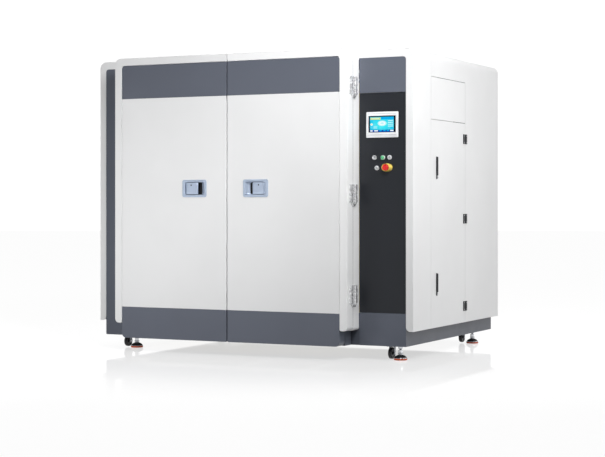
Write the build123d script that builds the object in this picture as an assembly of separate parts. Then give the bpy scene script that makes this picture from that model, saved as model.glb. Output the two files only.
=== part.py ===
from build123d import *
import math
import os

# Environmental test chamber, double doors, millimetres.
# Working axes: X to the right seen from the front, Y to the rear (0 = main front plane),
# Z up from the floor. Every node is shifted at export so that the origin lies on the
# floor under the centre of the overall box.

# ---------------------------------------------------------------- driving dimensions
WIDTH = 2372.0            # outer width of the cabinet
DEPTH = 1632.0            # main front plane to rear edge
HEIGHT = 2000.0           # floor to roof
PLINTH_Z = 91.0           # underside of the base frame
WHITE_Z = 189.0           # lower edge of the white panels
BORDER = 50.0             # width of the white border
CORNER_R = 45.0           # rounding of the roof edges
SHEET = 3.0               # thickness of the cabinet sheets
BAND_TOP_Z = 1948.0       # upper edge of the upper colour band
BAND_MID_Z = 1721.0       # lower edge of the upper colour band
BAND_LOW_Z = 303.0        # upper edge of the lower colour band

DOOR_X0, DOOR_X1 = -945.0, 807.0   # door box, left and right
DOOR_CS = -69.0           # seam between the two leaves
DOOR_GAP = 7.0            # gap between the two leaves
DOOR_FRONT = -181.0       # outer face of the leaves
DOOR_BACK = -94.0         # inner face of the leaves
FRAME_FRONT = -91.0       # front of the fixed door frame
DOOR_BORDER = 55.4        # white border on the outer side of a leaf
DOOR_WHITE_Z = 191.0      # lower end of that border

OPEN_X0, OPEN_X1 = -845.0, 707.0   # chamber opening
OPEN_Z0, OPEN_Z1 = 400.0, 1690.0
CHAMBER_Y1 = 880.0        # rear wall of the liner
SLAB = 97.5               # insulation thickness

SEAM_A, SEAM_B = 306.0, 947.0      # vertical seams of the side
PANEL_Z1, PANEL_Z2 = 1560.5, 1840.5  # horizontal seams of the side
SEAM = 3.0

HINGE_Z = (1754.0, 1060.0, 413.0)  # door hinge centres
HINGE_OFF = 14.0          # hinge axis out from the side of the door box
HINGE_Y = -92.5           # hinge axis
HINGE_H = 140.0
PIN_R, PIN_BORE = 4.0, 4.05
KNUCKLE_R = 9.5

LATCH_W, LATCH_H = 185.0, 116.0
LATCH_Z = 1108.0
LATCH_L, LATCH_R = -315.5, 146.5   # latch dish centres

S_HINGE_Z = (1451.0, 903.0, 301.0)  # access door hinge centres
S_HINGE_X, S_HINGE_Y = 1191.0, 947.5
HANDLE_Y = 408.0
HANDLE_Z = (1243.0, 473.0)

SCREEN_X, SCREEN_Z = 973.0, 1514.0
BUTTONS = {"button_left": (918.0, 1303.0), "button_right": (1024.0, 1303.0), "button_lower": (935.0, 1236.0)}
SELECTOR = (977.0, 1303.0)
ESTOP = (1008.0, 1238.0)

FEET = {"front_right": (1072.0, 65.0), "front_left": (-936.0, 85.0),
        "rear_right": (1064.0, 1425.0), "rear_left": (-936.0, 1425.0)}
CASTERS = {"front_right": (1008.0, 72.0), "front_left": (-1010.0, 90.0),
           "rear_right": (986.0, 1420.0), "rear_left": (-1010.0, 1420.0)}
WHEEL_R, WHEEL_W, WHEEL_GAP = 37.5, 28.0, 5.0

FAN = (-69.0, 1300.0)     # circulation fan axis, X and Z
COND = (-500.0, 1000.0)   # condenser fan axis, X and Z
SHIFT_X, SHIFT_Y = 5.0, 732.5

W2 = WIDTH / 2
os.makedirs("parts", exist_ok=True)


# ---------------------------------------------------------------- helpers
def box(x0, x1, y0, y1, z0, z1):
    return Pos((x0 + x1) / 2, (y0 + y1) / 2, (z0 + z1) / 2) * Box(x1 - x0, y1 - y0, z1 - z0)


def cyl_x(r, y, z, x0, x1):
    return Pos((x0 + x1) / 2, y, z) * Rot(0, 90, 0) * Cylinder(r, x1 - x0)


def cyl_y(r, x, z, y0, y1):
    return Pos(x, (y0 + y1) / 2, z) * Rot(90, 0, 0) * Cylinder(r, y1 - y0)


def cyl_z(r, x, y, z0, z1):
    return Pos(x, y, (z0 + z1) / 2) * Cylinder(r, z1 - z0)


def prism_y(points, y0, y1, radii=()):
    """Prism along Y from an outline in X and Z; radii are (point index, radius)."""
    sketch = Polygon(*points, align=None)
    for index, radius in radii:
        vertex = sketch.vertices().sort_by_distance((*points[index], 0))[0]
        sketch = fillet(vertex, radius)
    face = Plane(origin=(0, y0, 0), x_dir=(1, 0, 0), z_dir=(0, -1, 0)) * sketch
    return extrude(face, amount=y1 - y0, dir=(0, 1, 0))


def prism_z(points, z0, z1, radii=()):
    """Prism along Z from an outline in X and Y."""
    sketch = Polygon(*points, align=None)
    for index, radius in radii:
        vertex = sketch.vertices().sort_by_distance((*points[index], 0))[0]
        sketch = fillet(vertex, radius)
    return extrude(Pos(0, 0, z0) * sketch, amount=z1 - z0, dir=(0, 0, 1))


def hex_z(across, x, y, z0, z1):
    return Pos(x, y, z0) * extrude(RegularPolygon(across / 2 / math.cos(math.pi / 6), 6), amount=z1 - z0)


def rounded(x0, x1, z0, z1, y0, y1, r):
    pts = [(x0, z0), (x1, z0), (x1, z1), (x0, z1)]
    return prism_y(pts, y0, y1, [(i, r) for i in range(4)])


def tube_path(points, r):
    """Rigid pipe: straight runs joined by ball corners."""
    shape = None
    for a, b in zip(points[:-1], points[1:]):
        va, vb = Vector(*a), Vector(*b)
        d = vb - va
        run = Plane(origin=va, z_dir=d) * Pos(0, 0, d.length / 2) * Cylinder(r, d.length)
        shape = run if shape is None else shape + run
    for p in points[1:-1]:
        shape = shape + Pos(*p) * Sphere(r)
    return shape


def solids(*items):
    out = []
    for item in items:
        out += item.solids() if not isinstance(item, (list, tuple)) else solids(*item)
    return out


def save(name, *items):
    found = solids(*items)
    moved = [s.moved(Location((-SHIFT_X, -SHIFT_Y, 0))) for s in found]
    shape = moved[0] if len(moved) == 1 else Compound(moved)
    shape.label = name
    export_step(shape, f"parts/{name}.step")


def flip(item, x):
    return mirror(item, about=Plane(origin=(x, 0, 0), z_dir=(1, 0, 0)))


# ---------------------------------------------------------------- steel frame
members = [
    box(1096, 1136, 3.5, 1622, PLINTH_Z, 290), box(-1136, -1096, 3.5, 1622, PLINTH_Z, 290),
    box(-1096, 1096, 6, 46, PLINTH_Z, 290), box(-1096, 1096, 1582, 1622, PLINTH_Z, 290),
]
for x in (-560, 0, 560):
    members.append(box(x - 30, x + 30, 46, 1582, 190, 290))
corner_plates = [
    box(940, 1096, 46, 200, PLINTH_Z, 103) - cyl_z(8.3, *FEET["front_right"], 80, 110),
    box(-1096, -860, 46, 200, PLINTH_Z, 103) - cyl_z(8.3, *FEET["front_left"], 80, 110),
    box(920, 1096, 1340, 1582, PLINTH_Z, 103) - cyl_z(8.3, *FEET["rear_right"], 80, 110),
    box(-1096, -860, 1340, 1582, PLINTH_Z, 103) - cyl_z(8.3, *FEET["rear_left"], 80, 110),
]
posts = []
for y0 in (6, 262, 955, 1580):
    for s in (1, -1):
        a, b = sorted((s * 1093, s * 1180))
        posts.append(box(a, b, y0, y0 + 40, 290, 1940))
    posts.append(box(-1093, 1093, y0, y0 + 40, 1900, 1940))
machine_tray = [box(-1090, 1090, 1000, 1576, 290, 294), box(812, 1090, 48, 1000, 290, 294), box(-1090, -950, 48, 1000, 290, 294)]
save("steel_frame", members, corner_plates, posts, machine_tray)

# ---------------------------------------------------------------- white sheet panels
outer_pts = [(-W2, WHITE_Z), (-W2, HEIGHT), (W2, HEIGHT), (W2, WHITE_Z)]
inner_pts = [(-W2 + SHEET, WHITE_Z - 5), (-W2 + SHEET, HEIGHT - SHEET), (W2 - SHEET, HEIGHT - SHEET), (W2 - SHEET, WHITE_Z - 5)]
top_r = [(1, CORNER_R), (2, CORNER_R)]
in_r = [(1, CORNER_R - SHEET), (2, CORNER_R - SHEET)]
WB = W2 - BORDER

hoop = prism_y(outer_pts, 0, SEAM_A, top_r)
edge = [e for e in hoop.edges() if abs(e.center().Y) < 0.01 and e.center().Z > WHITE_Z + 1]
hoop = fillet(edge, 5.0)
hoop -= prism_y(inner_pts, SHEET, SEAM_A + 5, in_r)
hoop -= prism_y([(-WB, WHITE_Z - 5), (-WB, BAND_TOP_Z), (WB, BAND_TOP_Z), (WB, WHITE_Z - 5)], -5, SHEET + 1, [(1, 20), (2, 20)])
for s in (1, -1):
    a, b = sorted((s * (WB - 1), s * (WB + 28)))
    corner = box(a, b, -5, SHEET + 0.5, WHITE_Z - 1, WHITE_Z + 28) - cyl_y(28, s * (WB + 28), WHITE_Z + 28, -6, SHEET + 2)
    hoop -= corner
save("front_hoop", hoop)

shell = prism_y(outer_pts, SEAM_A + SEAM, DEPTH, top_r) - prism_y(inner_pts, SEAM_A, DEPTH + 5, in_r)
for s in (1, -1):
    a, b = sorted((s * (W2 - 20), s * (W2 + 20)))
    shell -= box(a, b, SEAM_A - 1, SEAM_B + 2.0, WHITE_Z - 5, PANEL_Z2 + 1.5)
save("rear_shell", shell)

PY0, PY1 = SEAM_A + SEAM, SEAM_B - 1.0
upper_right = box(W2 - SHEET, W2, PY0, PY1, PANEL_Z1 + 1.5, PANEL_Z2 - 1.5)
upper_left = box(-W2, -W2 + SHEET, PY0, PY1, PANEL_Z1 + 1.5, PANEL_Z2 - 1.5)
service_left = box(-W2, -W2 + SHEET, PY0, PY1, WHITE_Z, PANEL_Z1 - 1.5)
save("side_panels", upper_right, upper_left, service_left)

rear = rounded(-1181, 1181, WHITE_Z, HEIGHT - 5, DEPTH - 6, DEPTH - 3, 38)
for k in range(14):
    z = COND[1] - 240 + k * 37
    rear -= box(COND[0] - 240, COND[0] - 10, DEPTH - 8, DEPTH, z, z + 12)
    rear -= box(COND[0] + 10, COND[0] + 240, DEPTH - 8, DEPTH, z, z + 12)
for k in range(8):
    z = 330 + k * 30
    rear -= box(150, 450, DEPTH - 8, DEPTH, z, z + 10)
    rear -= box(500, 800, DEPTH - 8, DEPTH, z, z + 10)
rear -= cyl_y(16.2, 950, 430, DEPTH - 10, DEPTH + 5)
save("rear_panel", rear)

# ---------------------------------------------------------------- front covers and control panel
left_cover = prism_y([(-WB + 0.5, PLINTH_Z), (-900, PLINTH_Z), (-900, BAND_TOP_Z - 0.5), (-WB + 0.5, BAND_TOP_Z - 0.5)], 0, SHEET, [(0, 8), (3, 19.5)])
upper_cover = prism_y([(810.5, BAND_MID_Z + 0.5), (WB - 0.5, BAND_MID_Z + 0.5), (WB - 0.5, BAND_TOP_Z - 0.5), (810.5, BAND_TOP_Z - 0.5)], 0, SHEET, [(2, 19.5)])
lower_cover = prism_y([(810.5, PLINTH_Z), (WB - 0.5, PLINTH_Z), (WB - 0.5, BAND_LOW_Z - 0.5), (810.5, BAND_LOW_Z - 0.5)], 0, SHEET, [(1, 8)])
save("front_covers", left_cover, upper_cover, lower_cover)

panel = box(810.5, WB - 0.5, 0, SHEET, BAND_LOW_Z + 0.5, BAND_MID_Z - 0.5)
panel -= box(SCREEN_X - 106.2, SCREEN_X + 106.2, -1, 5, SCREEN_Z - 73.2, SCREEN_Z + 73.2)
for x, z in [*BUTTONS.values(), SELECTOR]:
    panel -= cyl_y(11.2, x, z, -1, 5)
panel -= cyl_y(13.2, *ESTOP, -1, 5)
save("control_panel", panel)

# touch screen: bezel with its housing behind the panel, and the display glass
bezel = rounded(SCREEN_X - 116, SCREEN_X + 116, SCREEN_Z - 83, SCREEN_Z + 83, -9, 0, 6)
bezel = fillet([e for e in bezel.edges() if abs(e.center().Y + 9) < 0.01], 2.0)
bezel += box(SCREEN_X - 106, SCREEN_X + 106, 0, 42, SCREEN_Z - 73, SCREEN_Z + 73)
bezel -= box(SCREEN_X - 101, SCREEN_X + 101, -10, -4, SCREEN_Z - 60, SCREEN_Z + 64)
for s in (1, -1):
    bezel -= box(SCREEN_X - 112, SCREEN_X + 112, -9.6, -8.0, SCREEN_Z + s * 74 - 1, SCREEN_Z + s * 74 + 1)
save("touchscreen_bezel", bezel)
save("touchscreen_display", box(SCREEN_X - 100.8, SCREEN_X + 100.8, -7.5, -4, SCREEN_Z - 59.8, SCREEN_Z + 63.8))

# push buttons, selector switch and emergency stop
collars = []
for x, z in [*BUTTONS.values(), SELECTOR]:
    ring = cyl_y(14.7, x, z, -7, 0)
    ring = fillet([e for e in ring.edges() if abs(e.center().Y + 7) < 0.01], 1.5)
    ring += cyl_y(11.0, x, z, 0, 44)
    ring -= cyl_y(11.3, x, z, -8, -0.5)
    ring -= cyl_y(5.3, x, z, -1, 45)
    collars.append(ring)
ex, ez = ESTOP
collars.append(cyl_y(13.0, ex, ez, 0, 44) - cyl_y(6.3, ex, ez, -1, 45))
save("switch_collars", collars)
for name, (x, z) in BUTTONS.items():
    cap = cyl_y(11.0, x, z, -10.5, -5.5)
    cap = fillet([e for e in cap.edges() if abs(e.center().Y + 10.5) < 0.01], 1.0)
    save(name, cap + cyl_y(5.0, x, z, -5.5, 32))
sx, sz = SELECTOR
knob = cyl_y(11.0, sx, sz, -13, -1.2)
knob = fillet([e for e in knob.edges() if abs(e.center().Y + 13) < 0.01], 1.0)
lever = rounded(sx - 4, sx + 4, sz - 16, sz + 10.5, -21, -12.5, 3.5)
save("selector_switch", knob + lever + cyl_y(5.24, sx, sz, -1.5, 32))

guard = rounded(ex - 35, ex + 35, ez - 29.5, ez + 29.5, -6, 0, 26)
guard -= cyl_y(13.2, ex, ez, -7, 1)
wings = cyl_y(32.5, ex, ez, -36, -6) - cyl_y(26.5, ex, ez, -37, -5)
wings -= box(ex - 40, ex + 40, -40, -6.0, ez + 17, ez + 40)
wings -= box(ex - 40, ex + 40, -40, -6.0, ez - 40, ez - 17)
save("estop_guard", guard + wings)
mush = cyl_y(21.0, ex, ez, -41, -28)
mush = fillet([e for e in mush.edges() if abs(e.center().Y + 41) < 0.01], 6.0)
mush = fillet([e for e in mush.edges() if abs(e.center().Y + 28) < 0.01], 2.0)
save("estop_button", mush + cyl_y(12.0, ex, ez, -28, -8) + cyl_y(6.24, ex, ez, -8, 34))

# ---------------------------------------------------------------- fixed door frame and its seal
frame_pts = [(DOOR_X0, WHITE_Z), (DOOR_X0, HEIGHT), (DOOR_X1, HEIGHT), (DOOR_X1, WHITE_Z),
             (DOOR_X1 - 56, WHITE_Z), (DOOR_X1 - 56, PLINTH_Z), (DOOR_X0 + 56, PLINTH_Z), (DOOR_X0 + 56, WHITE_Z)]
frame = prism_y(frame_pts, FRAME_FRONT, 0, [(1, CORNER_R), (2, CORNER_R), (0, 20), (3, 20)])
frame -= box(OPEN_X0, OPEN_X1, FRAME_FRONT - 1, 1, OPEN_Z0, OPEN_Z1)
save("door_frame", frame)
seal = box(OPEN_X0 - 32, OPEN_X1 + 32, FRAME_FRONT - 2.5, FRAME_FRONT, OPEN_Z0 - 32, OPEN_Z1 + 32)
seal -= box(OPEN_X0 - 4, OPEN_X1 + 4, FRAME_FRONT - 3, FRAME_FRONT + 1, OPEN_Z0 - 4, OPEN_Z1 + 4)
save("door_seal", seal)

# ---------------------------------------------------------------- insulated chamber
t = 2.0
liner = box(OPEN_X0 - t, OPEN_X1 + t, 0.5, CHAMBER_Y1 + t, OPEN_Z0 - t, OPEN_Z1 + t)
liner -= box(OPEN_X0, OPEN_X1, 0, CHAMBER_Y1, OPEN_Z0, OPEN_Z1)
liner -= cyl_y(16, *FAN, CHAMBER_Y1 - 2, CHAMBER_Y1 + 5)
for x in (500, 540):
    liner -= cyl_y(6.3, x, 700, CHAMBER_Y1 - 2, CHAMBER_Y1 + 5)
save("inner_liner", liner)
SX0, SX1 = OPEN_X0 - t - 0.5, OPEN_X1 + t + 0.5
SZ0, SZ1 = OPEN_Z0 - t - 0.5, OPEN_Z1 + t + 0.5
SY1 = CHAMBER_Y1 + t + 0.5
back_slab = box(SX0, SX1, SY1, SY1 + SLAB, SZ0, SZ1) - cyl_y(16, *FAN, SY1 - 1, SY1 + SLAB + 1)
for x in (500, 540):
    back_slab -= cyl_y(6.3, x, 700, SY1 - 1, SY1 + SLAB + 1)
save("insulation_slabs",
     box(DOOR_X0, DOOR_X1, 3.5, SY1 + SLAB, SZ0 - SLAB, SZ0),
     box(DOOR_X0, DOOR_X1, 3.5, SY1 + SLAB, SZ1, SZ1 + SLAB),
     box(DOOR_X0, SX0, 3.5, SY1 + SLAB, SZ0, SZ1),
     box(SX1, DOOR_X1, 3.5, SY1 + SLAB, SZ0, SZ1),
     back_slab)

# perforated baffle in front of the fan, heater and evaporator
BAFFLE_Y = 742.0
baffle = box(OPEN_X0 + 0.5, OPEN_X1 - 0.5, BAFFLE_Y, BAFFLE_Y + 2, OPEN_Z0 + 0.5, OPEN_Z1 - 0.5)
for k in range(9):
    z = FAN[1] - 160 + k * 40
    half = math.sqrt(max(175.0 ** 2 - (z - FAN[1]) ** 2, 0))
    if half > 30:
        baffle -= box(FAN[0] - half, FAN[0] - 6, BAFFLE_Y - 1, BAFFLE_Y + 3, z - 6, z + 6)
        baffle -= box(FAN[0] + 6, FAN[0] + half, BAFFLE_Y - 1, BAFFLE_Y + 3, z - 6, z + 6)
for k in range(6):
    x = OPEN_X0 + 130 + k * 230
    for z in (OPEN_Z1 - 75, OPEN_Z1 - 50, OPEN_Z0 + 40, OPEN_Z0 + 65):
        baffle -= box(x, x + 150, BAFFLE_Y - 1, BAFFLE_Y + 3, z, z + 10)
save("air_baffle", baffle)

# two shelves on slotted uprights
SHELF_Z = (830.0, 1260.0)
shelf_parts = []
for s, x in ((1, OPEN_X0 + 0.5), (-1, OPEN_X1 - 0.5)):
    for y in (110, 610):
        a, b = sorted((x, x + s * 14))
        shelf_parts.append(box(a, b, y, y + 28, OPEN_Z0 + 40, OPEN_Z1 - 40))
for z in SHELF_Z:
    deck = box(OPEN_X0 + 16, OPEN_X1 - 16, 80, 680, z - 18, z)
    deck -= box(OPEN_X0 + 18, OPEN_X1 - 18, 82, 678, z - 19, z - 2)
    for i in range(10):
        for j in range(5):
            x, y = OPEN_X0 + 76 + i * 143, 112 + j * 112
            deck -= box(x, x + 110, y, y + 88, z - 3, z + 1) if (i + j) % 2 == 9 else box(x, x + 112, y, y + 28, z - 3, z + 1) + box(x, x + 112, y + 50, y + 78, z - 3, z + 1)
    shelf_parts.append(deck)
save("shelves", shelf_parts)

# circulation fan: motor outside the insulation, impeller in the plenum
fx, fz = FAN
motor = cyl_y(88, fx, fz, 986, 1170) - cyl_y(12.05, fx, fz, 985, 1050)
motor += box(fx - 60, fx + 60, 1030, 1130, fz + 80, fz + 112)
for k in range(4):
    a = math.radians(45 + 90 * k)
    motor += cyl_y(9, fx + 96 * math.cos(a), fz + 96 * math.sin(a), 980.5, 1010)
save("fan_motor", motor)
wheel = cyl_y(178, fx, fz, 852, 856) + cyl_y(30, fx, fz, 800, 856) + cyl_y(12, fx, fz, 790, 1048)
wheel += cyl_y(178, fx, fz, 792, 796) - cyl_y(140, fx, fz, 791, 797)
wheel += cyl_y(12, fx, fz, 790, 800)
for k in range(16):
    a = 22.5 * k
    blade = Pos(fx, 0, fz) * Rot(0, a, 0) * Pos(150, 824, 0) * Rot(0, 35, 0) * Box(46, 58, 2.5)
    wheel += blade
save("circulation_fan", wheel)

rods = [cyl_x(5, 812, z, -640, 500) for z in (1570, 1598, 1626, 1654)]
rods += [box(-660, -640, 796, 828, 1555, 1669), box(500, 520, 796, 828, 1555, 1669)]
save("heater_elements", rods)
coil = [box(-640, 480, 790, 860, 470, 900)]
coil += [cyl_x(6, y, z, 480, 500) for y in (805, 845) for z in (500, 580, 660, 740, 820)]
save("evaporator", coil)

# ---------------------------------------------------------------- refrigeration
comps = []
for x in (250, 650):
    can = cyl_z(85, x, 1250, 312, 610)
    can = fillet([e for e in can.edges() if abs(e.center().Z - 610) < 0.01], 40)
    can += box(x - 100, x + 100, 1150, 1350, 306, 312)
    for dx in (-80, 80):
        for dy in (-80, 80):
            can += cyl_z(14, x + dx, 1250 + dy, 294, 306)
    comps.append(can)
save("compressors", comps)
cx, cz = COND
pipes = [
    tube_path([(215, 1250, 610.2), (215, 1250, 690), (215, 1500, 690), (cx + 330, 1500, 690), (cx + 330, 1500, 820), (cx + 260, 1500, 820)], 6),
    tube_path([(685, 1250, 610.2), (685, 1250, 730), (685, 1460, 730), (290, 1460, 730), (290, 1460, 1180), (cx + 330, 1500 - 40, 1180), (cx + 330, 1500, 1180), (cx + 260, 1500, 1180)], 6),
    tube_path([(500, 861, 700), (500, 1100, 700), (285, 1100, 700), (285, 1240, 700), (285, 1240, 610.2)], 6),
    tube_path([(540, 861, 700), (540, 1120, 700), (615, 1120, 700), (615, 1240, 700), (615, 1240, 610.2)], 6),
]
save("refrigerant_pipes", pipes)

shroud = box(cx - 280, cx + 280, 1560, 1563, cz - 280, cz + 280) + cyl_y(252, cx, cz, 1535, 1562)
shroud -= cyl_y(246, cx, cz, 1530, 1570)
for k in range(4):
    shroud += Pos(cx, 1540, cz) * Rot(0, 45 + 90 * k, 0) * Pos(147, 0, 0) * Box(204, 6, 16)
shroud += cyl_y(46, cx, cz, 1534, 1572) + cyl_y(6, cx, cz, 1570, 1606)
save("condenser", box(cx - 260, cx + 260, 1470, 1532, cz - 260, cz + 260), shroud)
rotor = cyl_y(50, cx, cz, 1578, 1602)
for k in range(5):
    rotor += Pos(cx, 1590, cz) * Rot(0, 72 * k, 0) * Pos(140, 0, 0) * Rot(30, 0, 0) * Box(188, 3, 78)
rotor -= cyl_y(6.05, cx, cz, 1540, 1640)
save("condenser_fan", rotor)

# ---------------------------------------------------------------- electrical compartment
PX = 831.0
electric = [box(PX - 3, PX, 335, 935, 350, 1500)]
for y in (350, 900):
    for z in (380, 1450):
        electric.append(box(807.5, PX - 3, y, y + 20, z, z + 20))
for z in (560, 860, 1160, 1440):
    electric.append(box(PX, PX + 55, 350, 920, z, z + 40))
for z, h, n, w, d in ((1250, 90, 8, 40, 70), (960, 110, 5, 70, 90), (660, 120, 3, 120, 95)):
    for k in range(n):
        y0 = 370 + k * (520 / n)
        electric.append(box(PX, PX + d, y0, y0 + w, z, z + h))
electric.append(box(PX, PX + 45, 360, 900, 440, 490))
for x, z in [*BUTTONS.values(), SELECTOR, ESTOP]:
    electric.append(box(x - 12, x + 12, 44.5, 84, z - 16, z + 16))
electric.append(cyl_y(16, 950, 430, DEPTH - 22, DEPTH + 4) + cyl_y(24, 950, 430, DEPTH - 3, DEPTH + 6)
                + Pos(950, DEPTH + 12, 430) * Rot(90, 0, 0) * extrude(RegularPolygon(24, 6), amount=7, both=True)
                - cyl_y(9, 950, 430, DEPTH - 30, DEPTH + 30))
save("electrical_components", electric)

# ---------------------------------------------------------------- door leaves
RX0, RX1 = DOOR_CS + DOOR_GAP / 2, DOOR_X1          # right leaf
BX = DOOR_X1 - DOOR_BORDER                          # inner edge of the side border
leaf_border = prism_y([(RX0, BAND_TOP_Z + 0.6), (BX, BAND_TOP_Z + 0.6), (BX, DOOR_WHITE_Z), (RX1, DOOR_WHITE_Z), (RX1, HEIGHT), (RX0, HEIGHT)],
                      DOOR_FRONT, DOOR_BACK, [(1, 20), (2, 12), (3, 28), (4, CORNER_R)])
leaf_border = fillet([e for e in leaf_border.edges() if abs(e.center().Y - DOOR_FRONT) < 0.01
                      and (abs(e.center().X - RX1) < 14 or abs(e.center().Z - HEIGHT) < 14 or abs(e.center().X - RX0) < 0.1)], 3.0)
pan_pts = [(RX0, PLINTH_Z), (BX - 1.2, PLINTH_Z), (BX - 1.2, BAND_TOP_Z - 0.6), (RX0, BAND_TOP_Z - 0.6)]
pan = prism_y(pan_pts, DOOR_FRONT, DOOR_BACK, [(0, 8), (1, 28), (2, 19)])
pan = fillet([e for e in pan.edges() if abs(e.center().Y - DOOR_FRONT) < 0.01], 2.2)
core_pts = [(RX0 + 2.5, PLINTH_Z + 2.5), (BX - 3.7, PLINTH_Z + 2.5), (BX - 3.7, BAND_TOP_Z - 3.1), (RX0 + 2.5, BAND_TOP_Z - 3.1)]
core = prism_y(core_pts, DOOR_FRONT + 2.5, DOOR_BACK, [(0, 6), (1, 25.5), (2, 16.5)])
pan -= prism_y(core_pts, DOOR_FRONT + 2.5, DOOR_BACK + 1, [(0, 6), (1, 25.5), (2, 16.5)])
plug = core + rounded(RX0 + 2, OPEN_X1 - 12, OPEN_Z0 + 12, OPEN_Z1 - 12, DOOR_BACK, -42, 6)

TRAY_W, TRAY_H, TRAY_D = 150.0, 84.0, 26.0


def latch_cut(x):
    return box(x - TRAY_W / 2 - 2.2, x + TRAY_W / 2 + 2.2, DOOR_FRONT - 5, DOOR_FRONT + TRAY_D + 2.2, LATCH_Z - TRAY_H / 2 - 2.2, LATCH_Z + TRAY_H / 2 + 2.2)


def latch(x, side):
    """side +1: paddle pivots on the right, finger pocket on the left."""
    rim = rounded(x - LATCH_W / 2, x + LATCH_W / 2, LATCH_Z - LATCH_H / 2, LATCH_Z + LATCH_H / 2, DOOR_FRONT - 4, DOOR_FRONT, 13)
    rim = fillet([e for e in rim.edges() if abs(e.center().Y - DOOR_FRONT + 4) < 0.01], 2.5)
    dish = rim + box(x - TRAY_W / 2 - 2, x + TRAY_W / 2 + 2, DOOR_FRONT, DOOR_FRONT + TRAY_D + 2, LATCH_Z - TRAY_H / 2 - 2, LATCH_Z + TRAY_H / 2 + 2)
    dish -= rounded(x - TRAY_W / 2, x + TRAY_W / 2, LATCH_Z - TRAY_H / 2, LATCH_Z + TRAY_H / 2, DOOR_FRONT - 6, DOOR_FRONT + TRAY_D, 5)
    px = x + side * 64.0
    py = DOOR_FRONT + 8.0
    dish -= cyl_z(3.05, px, py, LATCH_Z - 60, LATCH_Z + 60)
    a, b = sorted((x - side * 46.0, x + side * 69.0))
    paddle = rounded(a, b, LATCH_Z - TRAY_H / 2 + 3, LATCH_Z + TRAY_H / 2 - 3, DOOR_FRONT - 3.5, DOOR_FRONT + 3, 5)
    paddle = fillet([e for e in paddle.edges() if abs(e.center().Y - DOOR_FRONT + 3.5) < 0.01], 2.0)
    paddle += box(px - 5, px + 5, DOOR_FRONT + 3, py + 5, LATCH_Z - 38, LATCH_Z + 38)
    paddle += cyl_z(3.0, px, py, LATCH_Z - 44, LATCH_Z + 44)
    paddle += cyl_y(6, x + side * 40, LATCH_Z + 14, DOOR_FRONT - 5, DOOR_FRONT - 3)
    return dish, paddle


def door_hinges(x):
    """Door side and frame side halves on an axis at x to the right of the door box."""
    door_half, frame_half = [], []
    for z in HINGE_Z:
        lo, hi, mid = z - HINGE_H / 2, z + HINGE_H / 2, z - 2
        face = x - HINGE_OFF
        pts = [(face, HINGE_Y - 54), (face + 12, HINGE_Y - 50), (face + 12, HINGE_Y - 10.5), (face, HINGE_Y - 10.5)]
        plate = prism_z(pts, lo, hi, [(1, 5)])
        plate -= Pos(face + 6, HINGE_Y - 54, lo) * Rot(32, 0, 0) * Box(30, 60, 40)
        knuckle = cyl_z(KNUCKLE_R, x, HINGE_Y, mid + 0.4, hi - 2) + box(face, face + 10, HINGE_Y - 11, HINGE_Y, mid + 0.4, hi - 2)
        knuckle -= cyl_z(PIN_BORE, x, HINGE_Y, mid - 1, hi - 8)
        door_half.append(plate + (knuckle - box(face - 0.5, face, HINGE_Y - 12, HINGE_Y + 12, lo, hi)))
        pts = [(face, HINGE_Y + 10.5), (face + 12, HINGE_Y + 10.5), (face + 12, HINGE_Y + 47), (face, HINGE_Y + 51)]
        plate = prism_z(pts, lo, hi, [(2, 5)])
        plate -= Pos(face + 6, HINGE_Y + 51, lo) * Rot(-32, 0, 0) * Box(30, 60, 40)
        knuckle = cyl_z(KNUCKLE_R, x, HINGE_Y, lo + 14, mid) + box(face, face + 10, HINGE_Y + 1.6, HINGE_Y + 11, lo + 14, mid)
        frame_half.append(plate + knuckle + cyl_z(PIN_R, x, HINGE_Y, mid - 1, hi - 10))
    return door_half, frame_half


dish_r, paddle_r = latch(LATCH_R, 1)
dish_l, paddle_l = latch(LATCH_L, -1)
right_door_half, right_frame_half = door_hinges(DOOR_X1 + HINGE_OFF)
left_door_half = [flip(p, DOOR_CS) for p in right_door_half]
left_frame_half = [flip(p, DOOR_CS) for p in right_frame_half]
mirror_latch = 2 * DOOR_CS - LATCH_L     # where the left latch lies on the right leaf before it is flipped

save("right_door_border", leaf_border)
save("right_door_panel", pan - latch_cut(LATCH_R))
save("right_door_plug", plug - latch_cut(LATCH_R))
save("right_door_hinge_halves", right_door_half)
save("right_latch_dish", dish_r)
save("right_latch_paddle", paddle_r)
save("left_door_border", flip(leaf_border, DOOR_CS))
save("left_door_panel", flip(pan - latch_cut(mirror_latch), DOOR_CS))
save("left_door_plug", flip(plug - latch_cut(mirror_latch), DOOR_CS))
save("left_door_hinge_halves", left_door_half)
save("left_latch_dish", dish_l)
save("left_latch_paddle", paddle_l)
save("frame_hinge_halves", right_frame_half, left_frame_half)

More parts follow.
